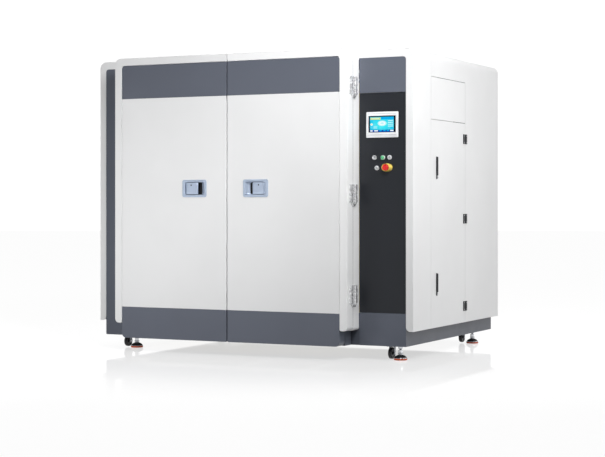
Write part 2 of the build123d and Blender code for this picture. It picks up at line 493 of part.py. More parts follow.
# ---------------------------------------------------------------- side access door
door = box(W2 - SHEET, W2, PY0, PY1, WHITE_Z, PANEL_Z1 - 1.5)
ring = box(W2 - 17, W2 - SHEET, PY0 + 16, PY1 - 16, WHITE_Z + 110, PANEL_Z1 - 18)
ring -= box(W2 - 18, W2 - SHEET, PY0 + 36, PY1 - 36, WHITE_Z + 130, PANEL_Z1 - 38)
door += ring
for z in HANDLE_Z:
    door -= cyl_x(5.06, HANDLE_Y, z + 57, W2 - 10, W2 + 5)
save("access_door", door)
moving, fixed = [], []
for z in S_HINGE_Z:
    lo, hi = z - 33, z + 33
    leaf = box(W2, W2 + 5, S_HINGE_Y - 38.5, S_HINGE_Y - 6.5, lo, hi)
    leaf = fillet([e for e in leaf.edges() if abs(e.center().X - W2 - 5) < 0.01], 1.5)
    barrel = cyl_z(4.6, S_HINGE_X, S_HINGE_Y, z + 0.3, hi) + box(W2 + 0.5, W2 + 4.5, S_HINGE_Y - 7.5, S_HINGE_Y, z + 0.3, hi)
    moving.append(leaf + barrel - cyl_z(2.55, S_HINGE_X, S_HINGE_Y, z - 1, hi - 3))
    leaf = box(W2, W2 + 5, S_HINGE_Y + 6.5, S_HINGE_Y + 28, lo, hi)
    leaf = fillet([e for e in leaf.edges() if abs(e.center().X - W2 - 5) < 0.01], 1.5)
    barrel = cyl_z(4.6, S_HINGE_X, S_HINGE_Y, lo, z - 0.3) + box(W2 + 0.5, W2 + 4.5, S_HINGE_Y, S_HINGE_Y + 7.5, lo, z - 0.3)
    fixed.append(leaf + barrel + cyl_z(2.5, S_HINGE_X, S_HINGE_Y, z - 1, hi - 4))
save("access_door_hinge_halves", moving)
save("cabinet_hinge_halves", fixed)
bases = []
for name, z in zip(("upper_swing_handle", "lower_swing_handle"), HANDLE_Z):
    base = Pos(W2 + 1.25, HANDLE_Y, z) * Box(2.5, 20, 150)
    base = fillet(base.edges().filter_by(Axis.X), 8)
    base -= cyl_x(5.06, HANDLE_Y, z + 57, W2 - 1, W2 + 4)
    bases.append(base + cyl_x(7.5, HANDLE_Y, z - 64, W2 + 2, W2 + 8))
    lever = Pos(W2 + 6.5, HANDLE_Y, z + 10.5) * Box(7, 16, 124)
    lever = fillet(lever.edges().filter_by(Axis.X), 6)
    lever = fillet([e for e in lever.edges() if abs(e.center().X - W2 - 10) < 0.01], 2.0)
    lever += cyl_x(5.0, HANDLE_Y, z + 57, W2 - 22, W2 + 4)
    lever += box(W2 - 24, W2 - 19, HANDLE_Y - 44, HANDLE_Y + 8, z + 50, z + 64)
    save(name, lever)
save("handle_bases", bases)

# ---------------------------------------------------------------- feet and casters
for name, (x, y) in FEET.items():
    pad = cyl_z(43, x, y, 0, 12)
    pad = fillet([e for e in pad.edges() if abs(e.center().Z - 12) < 0.01], 2.0)
    cap = cyl_z(41, x, y, 12, 17) + Pos(x, y, 25) * Cone(38, 19, 16) + cyl_z(15, x, y, 33, 42)
    stud = cyl_z(8.0, x, y, 42, 150) + hex_z(24, x, y, 46, 56) + hex_z(26, x, y, 76, 90.4)
    save("levelling_foot_" + name, pad, cap, stud)
brackets = []
wz = WHEEL_GAP + WHEEL_R
for name, (x, y) in CASTERS.items():
    fork = box(x - 32, x + 32, y - 26, y + 26, 86.5, PLINTH_Z)
    for s in (1, -1):
        a, b = sorted((x + s * 15.5, x + s * 19.0))
        cheek = box(a, b, y - 17, y + 17, 34, 87) + cyl_x(17, y, 42.5, a, b)
        fork += cheek
    fork += cyl_x(5.0, y, wz, x - 22, x + 22)
    brackets.append(fork)
    tyre = cyl_x(WHEEL_R, y, wz, x - WHEEL_W / 2, x + WHEEL_W / 2)
    tyre = fillet([e for e in tyre.edges() if e.geom_type == GeomType.CIRCLE], 4.0)
    save("caster_wheel_" + name, tyre - cyl_x(5.06, y, wz, x - 20, x + 20))
save("caster_brackets", brackets)
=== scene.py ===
import math

import bmesh
import bpy
from mathutils import Matrix, Vector


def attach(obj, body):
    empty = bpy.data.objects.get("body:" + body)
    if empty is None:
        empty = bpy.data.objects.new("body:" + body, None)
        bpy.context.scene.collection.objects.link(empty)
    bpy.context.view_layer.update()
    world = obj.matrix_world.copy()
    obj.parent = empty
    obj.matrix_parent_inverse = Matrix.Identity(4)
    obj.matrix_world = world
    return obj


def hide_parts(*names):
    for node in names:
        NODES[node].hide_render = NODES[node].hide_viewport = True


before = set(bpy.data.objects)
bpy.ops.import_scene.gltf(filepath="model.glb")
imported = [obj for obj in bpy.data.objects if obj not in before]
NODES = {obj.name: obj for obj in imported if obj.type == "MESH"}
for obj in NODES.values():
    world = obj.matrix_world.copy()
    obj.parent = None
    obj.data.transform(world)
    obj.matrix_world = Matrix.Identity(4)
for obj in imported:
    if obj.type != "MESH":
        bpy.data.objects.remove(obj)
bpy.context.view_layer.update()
scene = bpy.context.scene
MM = 0.001
# cabinet coordinates (X from the centreline, Y from the main front) to the row frame
SX, SY = 5.0, 732.5


def P(x, y, z):
    """Cabinet millimetres to row metres."""
    return Vector(((x - SX) * MM, (y - SY) * MM, z * MM))


# ------------------------------------------------------------------ camera
cam_data = bpy.data.cameras.new("camera")
cam = bpy.data.objects.new("camera", cam_data)
scene.collection.objects.link(cam)
cam.location = (4.95397, -9.98902, 1.00332)
cam.rotation_euler = (math.radians(90.0), 0.0, math.radians(26.22))
cam_data.sensor_fit = "HORIZONTAL"
cam_data.sensor_width = 36.0
cam_data.lens = 93.2
cam_data.shift_x = 0.0
cam_data.shift_y = -0.04026
cam_data.clip_start, cam_data.clip_end = 0.05, 200.0
scene.camera = cam
scene.view_settings.view_transform = "Standard"
scene.view_settings.look = "None"
scene.view_settings.exposure = 0.0
scene.view_settings.gamma = 1.0


# ------------------------------------------------------------------ node helpers
class Shade:
    """A principled material with short calls for the nodes that drive it."""

    def __init__(self, name, rough=0.5, metal=0.0, **sockets):
        self.mat = bpy.data.materials.new(name)
        self.mat.use_nodes = True
        self.nt = self.mat.node_tree
        self.nt.nodes.clear()
        self.out = self.nt.nodes.new("ShaderNodeOutputMaterial")
        self.bsdf = self.nt.nodes.new("ShaderNodeBsdfPrincipled")
        self.nt.links.new(self.bsdf.outputs[0], self.out.inputs[0])
        self.bsdf.inputs["Roughness"].default_value = rough
        self.bsdf.inputs["Metallic"].default_value = metal
        for key, value in sockets.items():
            self.bsdf.inputs[key.replace("_", " ")].default_value = value
        self.coord = self.nt.nodes.new("ShaderNodeTexCoord").outputs["Object"]
        self.height = None

    def link(self, out, socket):
        self.nt.links.new(out, socket)

    def scaled(self, x, y, z):
        m = self.nt.nodes.new("ShaderNodeMapping")
        m.inputs["Scale"].default_value = (x, y, z)
        self.link(self.coord, m.inputs["Vector"])
        return m.outputs[0]

    def noise(self, scale, detail=2.0, rough=0.5, vector=None, distortion=0.0):
        n = self.nt.nodes.new("ShaderNodeTexNoise")
        n.inputs["Scale"].default_value = scale
        n.inputs["Detail"].default_value = detail
        n.inputs["Roughness"].default_value = rough
        n.inputs["Distortion"].default_value = distortion
        self.link(vector or self.coord, n.inputs["Vector"])
        return n.outputs["Fac"]

    def cells(self, scale, output="Distance", feature="F1", vector=None):
        n = self.nt.nodes.new("ShaderNodeTexVoronoi")
        n.feature = feature
        n.inputs["Scale"].default_value = scale
        self.link(vector or self.coord, n.inputs["Vector"])
        return n.outputs[output]

    def span(self, value, a, b, c, d, smooth=False):
        n = self.nt.nodes.new("ShaderNodeMapRange")
        n.interpolation_type = "SMOOTHSTEP" if smooth else "LINEAR"
        n.inputs["From Min"].default_value = a
        n.inputs["From Max"].default_value = b
        n.inputs["To Min"].default_value = c
        n.inputs["To Max"].default_value = d
        self.link(value, n.inputs["Value"])
        return n.outputs["Result"]

    def math(self, op, a, b=None, c=None):
        n = self.nt.nodes.new("ShaderNodeMath")
        n.operation = op
        for i, v in enumerate((a, b, c)):
            if v is None:
                continue
            if isinstance(v, (int, float)):
                n.inputs[i].default_value = v
            else:
                self.link(v, n.inputs[i])
        return n.outputs[0]

    def xyz(self):
        n = self.nt.nodes.new("ShaderNodeSeparateXYZ")
        self.link(self.coord, n.inputs[0])
        return n.outputs

    def mix(self, fac, a, b):
        n = self.nt.nodes.new("ShaderNodeMix")
        n.data_type = "RGBA"
        n.clamp_factor = True
        self.link(fac, n.inputs["Factor"])
        sa = [s for s in n.inputs if s.name == "A" and s.type == "RGBA"][0]
        sb = [s for s in n.inputs if s.name == "B" and s.type == "RGBA"][0]
        for v, s in ((a, sa), (b, sb)):
            if isinstance(v, (tuple, list)):
                s.default_value = (*v[:3], 1.0)
            else:
                self.link(v, s)
        return [s for s in n.outputs if s.type == "RGBA"][0]

    def colour(self, value):
        self.link(value, self.bsdf.inputs["Base Color"])

    def roughness(self, value):
        self.link(value, self.bsdf.inputs["Roughness"])

    def bump(self, height, strength, distance):
        n = self.nt.nodes.new("ShaderNodeBump")
        n.inputs["Strength"].default_value = strength
        n.inputs["Distance"].default_value = distance
        self.link(height, n.inputs["Height"])
        if self.height is not None:
            self.link(self.height, n.inputs["Normal"])
        self.height = n.outputs["Normal"]
        self.link(self.height, self.bsdf.inputs["Normal"])


def tint(c, k):
    return tuple(min(1.0, v * k) for v in c)


def powder(name, base, rough=0.42, peel=0.09, zones=None, spec=0.5):
    """Powder coat: soft orange peel, fine grain, faint large-scale variation. zones: (colour, test) pairs."""
    s = Shade(name, rough, 0.0, Specular_IOR_Level=spec)
    big = s.noise(1.7, 3.0, 0.55)
    fine = s.noise(1400.0, 2.0, 0.6)
    col = s.mix(s.span(big, 0.35, 0.65, 0.0, 1.0), tint(base, 0.972), tint(base, 1.018))
    col = s.mix(s.span(fine, 0.3, 0.7, 0.0, 0.35), col, tint(base, 0.93))
    if zones:
        x, y, z = s.xyz()
        for other, low, high in zones:
            inside = s.math("MULTIPLY", s.math("GREATER_THAN", z, low), s.math("LESS_THAN", z, high))
            oc = s.mix(s.span(big, 0.35, 0.65, 0.0, 1.0), tint(other, 0.965), tint(other, 1.03))
            oc = s.mix(s.span(fine, 0.3, 0.7, 0.0, 0.35), oc, tint(other, 0.86))
            col = s.mix(inside, col, oc)
    s.colour(col)
    smear = s.noise(9.0, 4.0, 0.6)
    s.roughness(s.math("ADD", s.span(smear, 0.3, 0.7, rough - 0.035, rough + 0.045), s.span(fine, 0.3, 0.7, -0.03, 0.03)))
    s.bump(s.noise(430.0, 1.5, 0.45), peel, 0.0004)
    s.bump(fine, peel * 0.7, 0.00012)
    return s.mat


def brushed(name, base, rough, axis, grain=2600.0, strength=0.10, dark=0.86, metal=1.0):
    """Brushed metal with its lines along one axis (0, 1 or 2)."""
    s = Shade(name, rough, metal)
    k = [1.0, 1.0, 1.0]
    k[axis] = 0.006
    lines = s.noise(grain, 3.0, 0.65, s.scaled(*k))
    k[axis] = 0.03
    broad = s.noise(grain * 0.12, 2.0, 0.6, s.scaled(*k))
    smear = s.noise(5.0, 3.0, 0.55)
    col = s.mix(s.span(lines, 0.3, 0.7, 0.0, 1.0), tint(base, dark), base)
    col = s.mix(s.span(broad, 0.35, 0.65, 0.0, 0.5), col, tint(base, 1.06))
    s.colour(col)
    s.roughness(s.math("ADD", s.span(lines, 0.3, 0.7, rough - 0.05, rough + 0.06), s.span(smear, 0.35, 0.65, -0.02, 0.05)))
    s.bump(lines, strength, 0.00008)
    return s.mat


def plastic(name, base, rough=0.35, grain=0.05, scale=900.0, coat=0.0, vary=0.05):
    s = Shade(name, rough, 0.0, Coat_Weight=coat, Coat_Roughness=0.08)
    fine = s.noise(scale, 2.0, 0.55)
    big = s.noise(22.0, 2.0, 0.5)
    s.colour(s.mix(s.span(big, 0.35, 0.65, 0.0, 1.0), tint(base, 1 - vary), tint(base, 1 + vary * 0.6)))
    s.roughness(s.math("ADD", s.span(big, 0.35, 0.65, rough - 0.03, rough + 0.05), s.span(fine, 0.3, 0.7, -0.03, 0.03)))
    s.bump(fine, grain, 0.00015)
    return s.mat


def rubber(name, base, rough=0.7, dust=0.25, dusty=(0.30, 0.29, 0.27)):
    s = Shade(name, rough, 0.0, Specular_IOR_Level=0.35)
    fine = s.noise(1100.0, 2.0, 0.6)
    big = s.noise(60.0, 4.0, 0.65)
    col = s.mix(s.span(fine, 0.3, 0.7, 0.0, 1.0), tint(base, 0.8), tint(base, 1.2))
    s.colour(s.mix(s.span(big, 0.52, 0.8, 0.0, dust), col, dusty))
    s.roughness(s.math("ADD", s.span(big, 0.3, 0.7, rough - 0.06, rough + 0.08), s.span(fine, 0.3, 0.7, -0.03, 0.03)))
    s.bump(fine, 0.25, 0.0002)
    return s.mat


def plated(name, base, rough=0.18, pits=0.10, tone=0.93, metal=1.0):
    """Chrome or zinc plating over a casting: soft waves, fine pits, clouded roughness."""
    s = Shade(name, rough, metal)
    cloud = s.noise(55.0, 4.0, 0.6)
    fine = s.noise(1800.0, 2.0, 0.6)
    s.colour(s.mix(s.span(cloud, 0.35, 0.65, 0.0, 1.0), tint(base, tone), base))
    s.roughness(s.math("ADD", s.span(cloud, 0.3, 0.7, rough - 0.05, rough + 0.08), s.span(fine, 0.3, 0.7, -0.02, 0.03)))
    s.bump(s.noise(160.0, 2.0, 0.5), pits, 0.0002)
    s.bump(fine, pits, 0.00006)
    return s.mat


def spangled(name, base, rough=0.38, cell=95.0):
    """Hot-dip galvanised sheet: crystals of slightly different tone and gloss."""
    s = Shade(name, rough, 1.0)
    cells = s.cells(cell, "Color")
    sep = s.nt.nodes.new("ShaderNodeSeparateColor")
    s.link(cells, sep.inputs[0])
    fine = s.noise(900.0, 3.0, 0.6)
    col = s.mix(sep.outputs[0], tint(base, 0.80), tint(base, 1.08))
    s.colour(s.mix(s.span(fine, 0.35, 0.65, 0.0, 0.3), col, tint(base, 0.7)))
    s.roughness(s.span(sep.outputs[1], 0.0, 1.0, rough - 0.08, rough + 0.14))
    s.bump(s.cells(cell, "Distance"), 0.12, 0.0003)
    s.bump(fine, 0.08, 0.0001)
    return s.mat


# ------------------------------------------------------------------ materials
WHITE = (0.80, 0.803, 0.808)
BLUEGREY = (0.109, 0.121, 0.153)
M = {}
M["white"] = powder("white_powder_coat", WHITE, 0.40)
M["two_tone"] = powder("two_tone_powder_coat", WHITE, 0.40, zones=[(BLUEGREY, 1.7210, 9.0), (BLUEGREY, -1.0, 0.3030)])
# The next two are brighter copies of the same white powder coat, for the door frame and the right leaf border: painted
# light standing in for bounce light on the door box sides. The frame's blue-grey band below 0.1895 m is real two-tone
# paint.
M["frame_white_painted_light"] = powder("door_frame_white_painted_brighter", (0.885, 0.888, 0.892), 0.40, zones=[(BLUEGREY, -1.0, 0.1895)])
M["leaf_white_painted_light"] = powder("leaf_border_white_painted_brighter", (0.860, 0.863, 0.867), 0.40)
M["bluegrey"] = powder("blue_grey_powder_coat", BLUEGREY, 0.40, 0.12, spec=0.35)
M["plinth"] = powder("plinth_powder_coat", tint(BLUEGREY, 0.80), 0.42, 0.12, spec=0.35)
M["black_panel"] = powder("black_powder_coat", (0.0175, 0.0195, 0.0245), 0.34, 0.12, spec=0.30)
M["liner"] = brushed("stainless_liner", (0.66, 0.67, 0.68), 0.30, 0)
M["liner_v"] = brushed("stainless_upright", (0.66, 0.67, 0.68), 0.30, 2)
M["inner_door"] = brushed("stainless_inner_door", (0.68, 0.69, 0.70), 0.32, 2)
M["latch"] = brushed("latch_satin_steel", (0.46, 0.54, 0.68), 0.34, 0, 3200.0, 0.10, 0.90, 0.35)
M["hinge"] = plated("hinge_satin_chrome", (0.72, 0.725, 0.735), 0.24, metal=0.62)
M["chrome"] = plated("bright_zinc", (0.64, 0.65, 0.68), 0.12, 0.06)
M["stud"] = plated("stud_zinc", (0.42, 0.43, 0.46), 0.16, 0.08)
M["galvanised"] = spangled("galvanised_sheet", (0.60, 0.62, 0.64))
M["foam"] = plastic("rigid_foam", (0.74, 0.66, 0.42), 0.85, 0.6, 260.0, vary=0.10)
M["seal"] = rubber("silicone_seal", (0.06, 0.06, 0.066), 0.62, 0.10)
M["black_metal"] = powder("black_zinc_coating", (0.014, 0.014, 0.018), 0.36, 0.10, spec=0.22)
M["silver"] = plated("switch_bezel_satin", (0.80, 0.81, 0.83), 0.24, 0.05, metal=0.45)
M["bezel"] = plastic("screen_frame_moulding", (0.80, 0.81, 0.83), 0.34, 0.06)
M["glass"] = plastic("display_cover_black", (0.006, 0.007, 0.009), 0.10, 0.01, coat=0.5)
M["button"] = plastic("button_cap_pearl", (0.36, 0.37, 0.39), 0.28, 0.02, coat=0.4)
M["green"] = plastic("selector_green", (0.10, 0.52, 0.24), 0.28, 0.02, coat=0.4)
M["red"] = plastic("mushroom_red", (0.70, 0.022, 0.018), 0.26, 0.02, coat=0.4)
M["yellow"] = plastic("guard_yellow", (0.90, 0.68, 0.13), 0.32, 0.03, coat=0.25)
M["alu"] = brushed("pressed_aluminium", (0.72, 0.73, 0.74), 0.34, 2, 1500.0, 0.06, 0.92)
M["fan_plastic"] = plastic("fan_moulding", (0.022, 0.022, 0.024), 0.45, 0.12)
M["motor"] = powder("motor_enamel", (0.045, 0.085, 0.150), 0.34, 0.14)
M["compressor"] = powder("compressor_enamel", (0.018, 0.018, 0.019), 0.30, 0.14)
M["electric"] = plastic("electrical_housings", (0.42, 0.43, 0.44), 0.48, 0.10)
M["tyre"] = rubber("caster_tread", (0.012, 0.012, 0.014), 0.30, 0.08)
M["hub"] = plastic("caster_hub_moulding", (0.035, 0.036, 0.040), 0.34, 0.06)
M["fork"] = plated("caster_fork_dark_zinc", (0.13, 0.135, 0.15), 0.24, 0.08)
# black for the latch pocket depths, lock keyways and leaf joints: painted shade where those openings fall dark
M["void"] = plastic("painted_shade_black", (0.010, 0.011, 0.014), 0.55, 0.05)
M["pad"] = rubber("foot_pad_rubber", (0.62, 0.085, 0.018), 0.50, 0.06, (0.5, 0.3, 0.2))
M["dome"] = plastic("foot_dome_black", (0.010, 0.011, 0.013), 0.22, 0.03, coat=0.3)


def copper():
    s = Shade("copper_pipe", 0.26, 1.0)
    cloud = s.noise(30.0, 5.0, 0.65)
    fine = s.noise(1200.0, 2.0, 0.6)
    col = s.mix(s.span(cloud, 0.40, 0.62, 0.0, 1.0), (0.72, 0.36, 0.20), (0.42, 0.19, 0.10))
    s.colour(s.mix(s.span(fine, 0.4, 0.7, 0.0, 0.3), col, (0.85, 0.48, 0.30)))
    s.roughness(s.span(cloud, 0.3, 0.7, 0.18, 0.42))
    s.bump(fine, 0.08, 0.0001)
    return s.mat


M["copper"] = copper()


def lamp(name, colour, strength, rough=0.12):
    """A lit screen colour under a glossy cover."""
    s = Shade(name, rough, 0.0, Coat_Weight=0.3, Coat_Roughness=0.04)
    grid = s.noise(3000.0, 1.0, 0.5)
    col = s.mix(s.span(grid, 0.3, 0.7, 0.0, 1.0), tint(colour, 0.93), tint(colour, 1.04))
    s.colour(tuple_mix(s, col))
    s.link(col, s.bsdf.inputs["Emission Color"])
    s.bsdf.inputs["Emission Strength"].default_value = strength
    s.roughness(s.span(grid, 0.3, 0.7, rough - 0.02, rough + 0.03))
    return s.mat


def tuple_mix(s, col):
    """The unlit colour of a screen: a dark version of the lit one."""
    n = s.nt.nodes.new("ShaderNodeMix")
    n.data_type = "RGBA"
    n.blend_type = "MULTIPLY"
    ins = [i for i in n.inputs if i.type == "RGBA"]
    n.inputs["Factor"].default_value = 1.0
    s.link(col, ins[0])
    ins[1].default_value = (0.12, 0.12, 0.12, 1.0)
    return [o for o in n.outputs if o.type == "RGBA"][0]


def screen_page():
    """The lit page: cyan field that pales toward its middle."""
    s = Shade("screen_page", 0.10, 0.0, Coat_Weight=0.3, Coat_Roughness=0.04)
    x, y, z = s.xyz()
    u = s.math("MULTIPLY", s.math("SUBTRACT", x, 0.968), 1 / 0.086)
    v = s.math("MULTIPLY", s.math("SUBTRACT", z, 1.516), 1 / 0.055)
    r = s.math("SQRT", s.math("ADD", s.math("MULTIPLY", u, u), s.math("MULTIPLY", v, v)))
    cloud = s.noise(48.0, 3.0, 0.55)
    col = s.mix(s.span(r, 0.0, 1.25, 1.0, 0.0, True), (0.0, 0.55, 0.86), (0.05, 0.86, 0.93))
    col = s.mix(s.span(cloud, 0.45, 0.75, 0.0, 0.35), col, (0.25, 0.95, 0.98))
    s.colour(tuple_mix(s, col))
    s.link(col, s.bsdf.inputs["Emission Color"])
    s.bsdf.inputs["Emission Strength"].default_value = 0.85
    s.roughness(s.span(s.noise(3000.0), 0.3, 0.7, 0.08, 0.13))
    return s.mat


M["page"] = screen_page()
M["page_blue"] = lamp("screen_blue_bar", (0.008, 0.07, 0.42), 0.85)
M["page_sky"] = lamp("screen_header", (0.0, 0.42, 0.86), 0.85)
M["page_yellow"] = lamp("screen_yellow_field", (0.78, 0.80, 0.10), 0.85)
M["page_white"] = lamp("screen_white_field", (0.88, 0.95, 0.98), 0.90)
M["page_pale"] = lamp("screen_pale_field", (0.50, 0.93, 0.95), 0.88)

def electrics():
    """Housings row by row: grey ducts and plate, pale breakers, cream contactors, dark drives, terminals."""
    s = Shade("electrical_housings_rows", 0.46)
    x, y, z = s.xyz()
    cloud = s.noise(24.0, 3.0, 0.55)
    fine = s.noise(900.0, 2.0, 0.55)
    col = s.mix(s.span(cloud, 0.35, 0.65, 0.0, 1.0), (0.40, 0.41, 0.43), (0.47, 0.48, 0.49))
    rows = [(1.249, 1.341, (0.78, 0.78, 0.76)), (1.278, 1.300, (0.05, 0.05, 0.055)), (0.959, 1.071, (0.60, 0.58, 0.50)),
            (1.000, 1.022, (0.04, 0.04, 0.045)), (0.659, 0.781, (0.060, 0.066, 0.080)), (0.735, 0.765, (0.16, 0.30, 0.42)),
            (0.439, 0.491, (0.44, 0.50, 0.42)), (0.460, 0.470, (0.75, 0.60, 0.12))]
    for lo, hi, tone in rows:
        inside = s.math("MULTIPLY", s.math("GREATER_THAN", z, lo), s.math("LESS_THAN", z, hi))
        inside = s.math("MULTIPLY", inside, s.math("GREATER_THAN", x, 0.8265))
        inside = s.math("MULTIPLY", inside, s.math("LESS_THAN", x, 0.930))
        oc = s.mix(s.span(cloud, 0.35, 0.65, 0.0, 1.0), tint(tone, 0.94), tint(tone, 1.05))
        col = s.mix(inside, col, oc)
    s.colour(col)
    s.roughness(s.math("ADD", s.span(cloud, 0.35, 0.65, 0.42, 0.50), s.span(fine, 0.3, 0.7, -0.03, 0.03)))
    s.bump(fine, 0.10, 0.00015)
    return s.mat


M["electric"] = electrics()

GIVE = {
    "two_tone": ["left_door_panel", "right_door_panel"],
    "white": ["front_hoop", "rear_shell", "side_panels", "rear_panel", "left_door_border", "access_door"],
    "leaf_white_painted_light": ["right_door_border"],
    "frame_white_painted_light": ["door_frame"],
    "bluegrey": ["front_covers"],
    "plinth": ["steel_frame"],
    "black_panel": ["control_panel"],
    "liner": ["inner_liner", "air_baffle"],
    "liner_v": ["shelves", "heater_elements"],
    "inner_door": ["left_door_plug", "right_door_plug"],
    "latch": ["left_latch_dish", "right_latch_dish", "left_latch_paddle", "right_latch_paddle"],
    "hinge": ["frame_hinge_halves", "left_door_hinge_halves", "right_door_hinge_halves"],
    "foam": ["insulation_slabs"],
    "seal": ["door_seal"],
    "black_metal": ["access_door_hinge_halves", "cabinet_hinge_halves", "handle_bases", "upper_swing_handle", "lower_swing_handle"],
    "silver": ["switch_collars"],
    "bezel": ["touchscreen_bezel"],
    "glass": ["touchscreen_display"],
    "button": ["button_left", "button_right", "button_lower"],
    "green": ["selector_switch"],
    "red": ["estop_button"],
    "yellow": ["estop_guard"],
    "alu": ["circulation_fan", "evaporator", "condenser"],
    "fan_plastic": ["condenser_fan"],
    "motor": ["fan_motor"],
    "compressor": ["compressors"],
    "copper": ["refrigerant_pipes"],
    "electric": ["electrical_components"],
    "galvanised": ["caster_brackets"],
    "tyre": ["caster_wheel_front_right", "caster_wheel_front_left", "caster_wheel_rear_right", "caster_wheel_rear_left"],
    "chrome": ["levelling_foot_front_right", "levelling_foot_front_left", "levelling_foot_rear_right", "levelling_foot_rear_left"],
}
for key, names in GIVE.items():
    for n in names:
        for i in range(len(NODES[n].material_slots)):
            NODES[n].material_slots[i].material = M[key]


# ------------------------------------------------------------------ mesh helpers
def turn(axis):
    """Matrix that turns local Z onto an axis."""
    if axis == "x":
        return Matrix(((0, 0, 1), (1, 0, 0), (0, 1, 0))).to_4x4()
    if axis == "y":
        return Matrix(((0, 1, 0), (0, 0, 1), (1, 0, 0))).to_4x4()
    return Matrix.Identity(4)


def lathe(bm, profile, at, axis="z", segs=64, mat=0, close=False):
    """Turns (radius, height) points, in mm, round an axis through at (a row point)."""
    m = Matrix.Translation(at) @ turn(axis)
    rings = []
    for r, h in profile:
        if r < 1e-6:
            rings.append([bm.verts.new(m @ Vector((0, 0, h * MM)))])
        else:
            rings.append([bm.verts.new(m @ Vector((r * MM * math.cos(2 * math.pi * k / segs), r * MM * math.sin(2 * math.pi * k / segs), h * MM))) for k in range(segs)])
    pairs = list(zip(rings, rings[1:]))
    if close:
        pairs.append((rings[-1], rings[0]))
    for a, b in pairs:
        for k in range(segs):
            n = (k + 1) % segs
            if len(a) == 1 and len(b) == 1:
                continue
            if len(a) == 1:
                f = bm.faces.new((a[0], b[k], b[n]))
            elif len(b) == 1:
                f = bm.faces.new((a[k], b[0], a[n]))
            else:
                f = bm.faces.new((a[k], b[k], b[n], a[n]))
            f.material_index = mat


def prism(bm, outline, h0, h1, at, axis="z", mat=0, chamfer=0.0):
    """Extrudes an outline (mm, in the plane across the axis) from h0 to h1, with its end edges chamfered."""
    m = Matrix.Translation(at) @ turn(axis)
    cx = sum(p[0] for p in outline) / len(outline)
    cy = sum(p[1] for p in outline) / len(outline)
    size = max(math.hypot(p[0] - cx, p[1] - cy) for p in outline)
    k = 1 - chamfer / size if size else 1.0
    levels = [(h0, k), (h0 + chamfer, 1.0), (h1 - chamfer, 1.0), (h1, k)] if chamfer else [(h0, 1.0), (h1, 1.0)]
    rings = [[bm.verts.new(m @ Vector(((cx + (p[0] - cx) * s) * MM, (cy + (p[1] - cy) * s) * MM, h * MM))) for p in outline] for h, s in levels]
    n = len(outline)
    for a, b in zip(rings, rings[1:]):
        for i in range(n):
            j = (i + 1) % n
            bm.faces.new((a[i], a[j], b[j], b[i])).material_index = mat
    bm.faces.new(list(reversed(rings[0]))).material_index = mat
    bm.faces.new(rings[-1]).material_index = mat


def hexagon(across, phase=0.0):
    r = across / 2 / math.cos(math.pi / 6)
    return [(r * math.cos(math.pi / 3 * k + phase), r * math.sin(math.pi / 3 * k + phase)) for k in range(6)]


def rrect(x0, x1, y0, y1, r, n=6):
    pts = []
    for cx, cy, a in ((x1 - r, y1 - r, 0), (x0 + r, y1 - r, 90), (x0 + r, y0 + r, 180), (x1 - r, y0 + r, 270)):
        for k in range(n + 1):
            t = math.radians(a + 90 * k / n)
            pts.append((cx + r * math.cos(t), cy + r * math.sin(t)))
    return pts


def arc(cx, cz, r, a0, a1, n=8):
    return [(cx + r * math.cos(math.radians(a0 + (a1 - a0) * k / n)), cz + r * math.sin(math.radians(a0 + (a1 - a0) * k / n))) for k in range(n + 1)]


def put(bm, name, body, mats, stands_for=(), angle=32.0):
    bmesh.ops.remove_doubles(bm, verts=bm.verts, dist=1e-7)
    bmesh.ops.recalc_face_normals(bm, faces=bm.faces)
    for f in bm.faces:
        f.smooth = True
    for e in bm.edges:
        if len(e.link_faces) != 2 or e.calc_face_angle(0.0) > math.radians(angle):
            e.smooth = False
    me = bpy.data.meshes.new(name)
    bm.to_mesh(me)
    bm.free()
    o = bpy.data.objects.new(name, me)
    scene.collection.objects.link(o)
    for m in mats:
        me.materials.append(m)
    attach(o, body)
    if stands_for:
        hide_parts(*stands_for)
    return o


# ------------------------------------------------------------------ levelling feet
FEET = {"front_right": (1072.0, 65.0), "front_left": (-936.0, 85.0), "rear_right": (1064.0, 1425.0), "rear_left": (-936.0, 1425.0)}


